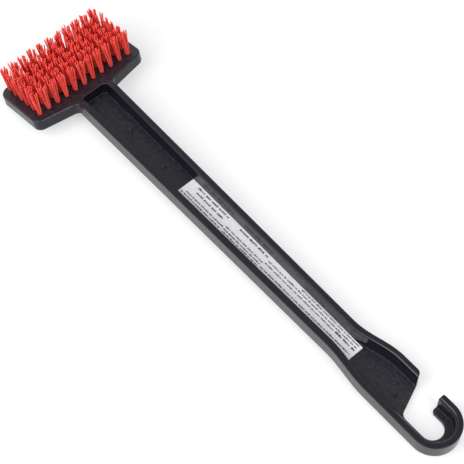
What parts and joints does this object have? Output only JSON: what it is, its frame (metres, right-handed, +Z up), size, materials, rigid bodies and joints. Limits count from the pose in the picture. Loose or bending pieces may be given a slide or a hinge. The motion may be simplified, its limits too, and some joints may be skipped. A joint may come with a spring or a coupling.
{
  "type": "grill brush",
  "caption": "Long one-piece brush with a tilted rectangular head of stiff tufts, an open channel handle and a hanging hook.",
  "frame": {"origin": "on the surface that the brush rests on, under the centre of its bounding box", "axes": "+X along the handle from the head to the hook, +Y across the handle towards the side on which the hook opens, +Z up, the way the bristles point"},
  "size_m": [0.4302, 0.0998, 0.0421],
  "materials": {
    "black_polypropylene": "satin moulded plastic",
    "label_film": "smooth printed film",
    "red_nylon": "extruded filament with a slight sheen"
  },
  "bodies": {
    "root": {"handle_and_head": "black_polypropylene", "channel_label": "label_film", "bristle_tufts_01_near": "red_nylon", "bristle_tufts_01_far": "red_nylon", "bristle_tufts_02_near": "red_nylon", "bristle_tufts_02_far": "red_nylon", "bristle_tufts_03_near": "red_nylon", "bristle_tufts_03_far": "red_nylon", "bristle_tufts_04_near": "red_nylon", "bristle_tufts_04_far": "red_nylon", "bristle_tufts_05_near": "red_nylon", "bristle_tufts_05_far": "red_nylon", "bristle_tufts_06_near": "red_nylon", "bristle_tufts_06_far": "red_nylon", "bristle_tufts_07_near": "red_nylon", "bristle_tufts_07_far": "red_nylon", "bristle_tufts_08_near": "red_nylon", "bristle_tufts_08_far": "red_nylon", "bristle_tufts_09_near": "red_nylon", "bristle_tufts_09_far": "red_nylon", "bristle_tufts_10_near": "red_nylon", "bristle_tufts_10_far": "red_nylon", "bristle_tufts_11_near": "red_nylon", "bristle_tufts_11_far": "red_nylon"}
  },
  "joints": []
}
